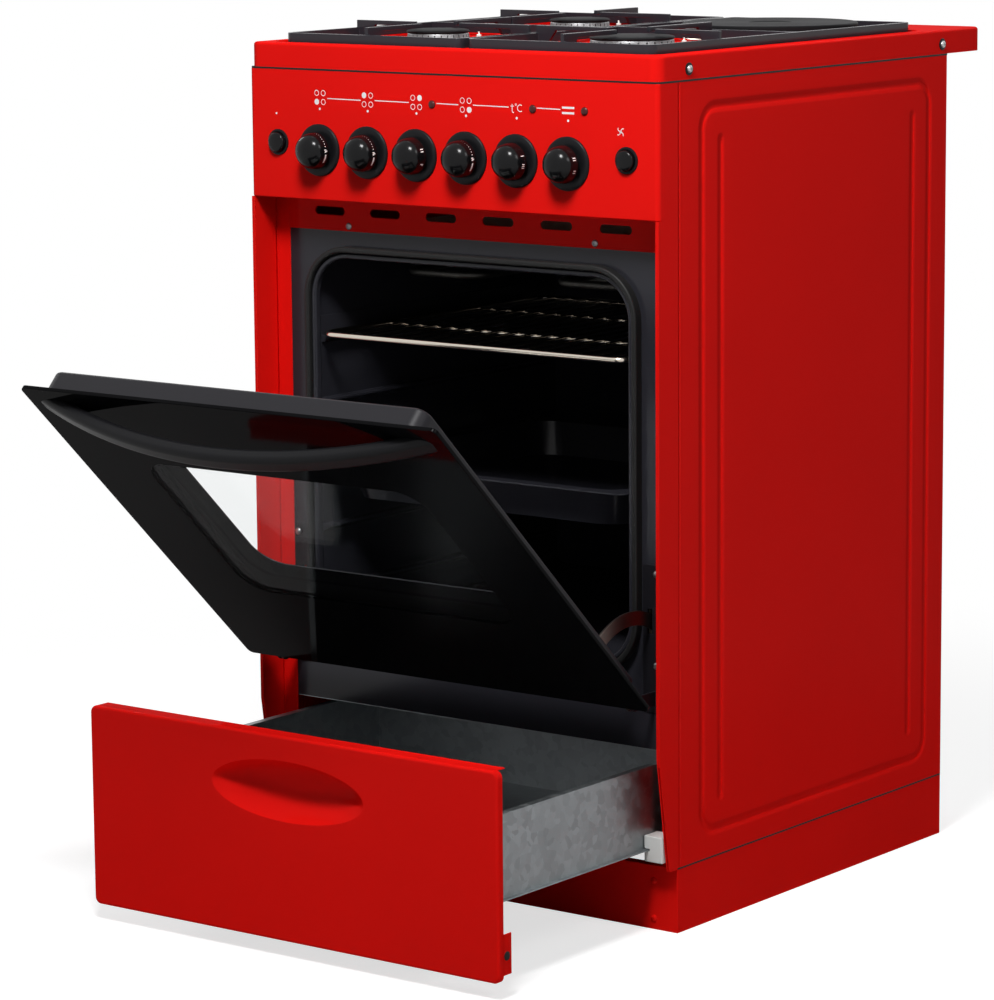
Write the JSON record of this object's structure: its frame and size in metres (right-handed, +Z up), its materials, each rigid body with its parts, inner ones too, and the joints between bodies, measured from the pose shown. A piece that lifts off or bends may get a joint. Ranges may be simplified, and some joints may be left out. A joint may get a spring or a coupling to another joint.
{
  "type": "gas electric range",
  "caption": "Free-standing cooker with gas burners, an electric hotplate, a bottom-hinged oven door and a storage drawer, shown open",
  "frame": {"origin": "on the floor at the centre of the plinth", "axes": "+Z up, -Y towards the person in front of the range, +X to that person's right"},
  "size_m": [0.5064, 0.9508, 0.866],
  "materials": {
    "red_enamel": "gloss enamel",
    "black_enamel": "gloss enamel",
    "black_paint": "satin paint",
    "galvanised": "galvanised sheet",
    "steel": "plain steel",
    "chrome": "chromed wire",
    "aluminium": "cast",
    "cast_iron": "blackened",
    "brass": "machined",
    "black_plastic": "gloss",
    "white_plastic": "satin",
    "grey_plastic": "matt",
    "lamp_red": "clear tinted",
    "ceramic": "glazed",
    "wool": "mineral wool",
    "seal": "silicone",
    "rubber": "matt",
    "door_glass": "dark printed",
    "lamp_glass": "ribbed"
  },
  "bodies": {
    "cabinet": {"side_panel_left": "red_enamel", "side_panel_right": "red_enamel", "plinth": "red_enamel", "rear_panel": "galvanised", "control_panel": "red_enamel", "vent_strip": "red_enamel", "hob_top": "red_enamel", "burner_cups": "aluminium", "burner_crowns": "aluminium", "burner_caps": "black_enamel", "spark_electrodes": "ceramic", "hotplate": "cast_iron", "hotplate_ring": "chrome", "pan_support_left": "black_enamel", "pan_support_right": "black_enamel", "gas_taps": "brass", "burner_pipes": "aluminium", "gas_manifold": "steel", "crossbar": "galvanised", "panel_switches": "grey_plastic", "bezels": "black_plastic", "indicator_lenses": "lamp_red", "oven_front_frame": "black_enamel", "oven_seal": "seal", "oven_cavity": "black_enamel", "shelf_runners": "black_enamel", "oven_blanket": "wool", "heating_elements": "steel", "oven_lamp": "lamp_glass", "fan_cover": "black_enamel", "fan_motor": "steel", "heat_shield": "galvanised", "terminal_box": "grey_plastic", "hinge_brackets": "steel", "hinge_pins": "steel", "drawer_guides": "white_plastic", "drawer_rails": "galvanised", "cabinet_screws": "steel"},
    "door": {"door_outer_glass": "door_glass", "door_frame": "black_paint", "door_inner_glass": "door_glass", "door_handle": "black_plastic", "hinge_arms": "steel"},
    "drawer": {"drawer_front": "red_enamel", "drawer_box": "galvanised", "drawer_buffers": "rubber"},
    "shelf": {"oven_shelf": "chrome"},
    "tray": {"baking_tray": "black_enamel"},
    "fan": {"fan_blade": "steel"},
    "ignition": {"ignition_button": "black_plastic"},
    "fan_switch": {"fan_button": "black_plastic"},
    "tap_1": {"tap_plug_1": "steel"},
    "tap_2": {"tap_plug_2": "steel"},
    "tap_4": {"tap_plug_4": "steel"},
    "turn_knob_1": {"knob_1": "black_plastic"},
    "turn_knob_2": {"knob_2": "black_plastic"},
    "turn_knob_3": {"knob_3": "black_plastic"},
    "turn_knob_4": {"knob_4": "black_plastic"},
    "turn_knob_5": {"knob_5": "black_plastic"},
    "turn_knob_6": {"knob_6": "black_plastic"}
  },
  "joints": [
    {"name": "door_hinge", "type": "hinge", "parent": "cabinet", "child": "door", "pos_m": [0, -0.275, 0.229], "axis": [1, 0, 0], "range_deg": [-46.5, 43.5]},
    {"name": "drawer_slide", "type": "slide", "parent": "cabinet", "child": "drawer", "axis": [0, -1, 0], "range_m": [-0.248, 0.1]},
    {"name": "shelf_slide", "type": "slide", "parent": "cabinet", "child": "shelf", "axis": [0, -1, 0], "range_m": [-0.012, 0.3]},
    {"name": "tray_slide", "type": "slide", "parent": "cabinet", "child": "tray", "axis": [0, -1, 0], "range_m": [-0.012, 0.175]},
    {"name": "fan_spin", "type": "hinge", "parent": "cabinet", "child": "fan", "pos_m": [0, 0.1704, 0.44], "axis": [0, -1, 0], "continuous": true},
    {"name": "ignition_push", "type": "slide", "parent": "cabinet", "child": "ignition", "axis": [0, 1, 0], "range_m": [0, 0.003], "stiffness_N_per_m": 1500},
    {"name": "fan_switch_push", "type": "slide", "parent": "cabinet", "child": "fan_switch", "axis": [0, 1, 0], "range_m": [0, 0.003], "stiffness_N_per_m": 1500},
    {"name": "tap_1_turn", "type": "hinge", "parent": "cabinet", "child": "tap_1", "pos_m": [-0.1605, -0.282, 0.745], "axis": [0, -1, 0], "range_deg": [0, 210]},
    {"name": "knob_1_push", "type": "slide", "parent": "tap_1", "child": "turn_knob_1", "axis": [0, 1, 0], "range_m": [0, 0.003], "stiffness_N_per_m": 1500},
    {"name": "tap_2_turn", "type": "hinge", "parent": "cabinet", "child": "tap_2", "pos_m": [-0.0995, -0.282, 0.745], "axis": [0, -1, 0], "range_deg": [0, 210]},
    {"name": "knob_2_push", "type": "slide", "parent": "tap_2", "child": "turn_knob_2", "axis": [0, 1, 0], "range_m": [0, 0.003], "stiffness_N_per_m": 1500},
    {"name": "tap_4_turn", "type": "hinge", "parent": "cabinet", "child": "tap_4", "pos_m": [0.0225, -0.282, 0.745], "axis": [0, -1, 0], "range_deg": [0, 210]},
    {"name": "knob_4_push", "type": "slide", "parent": "tap_4", "child": "turn_knob_4", "axis": [0, 1, 0], "range_m": [0, 0.003], "stiffness_N_per_m": 1500},
    {"name": "knob_3_turn", "type": "hinge", "parent": "cabinet", "child": "turn_knob_3", "pos_m": [-0.0385, -0.282, 0.745], "axis": [0, -1, 0], "range_deg": [0, 300]},
    {"name": "knob_5_turn", "type": "hinge", "parent": "cabinet", "child": "turn_knob_5", "pos_m": [0.0835, -0.282, 0.745], "axis": [0, -1, 0], "range_deg": [0, 270]},
    {"name": "knob_6_turn", "type": "hinge", "parent": "cabinet", "child": "turn_knob_6", "pos_m": [0.1445, -0.282, 0.745], "axis": [0, -1, 0], "range_deg": [0, 300]}
  ]
}
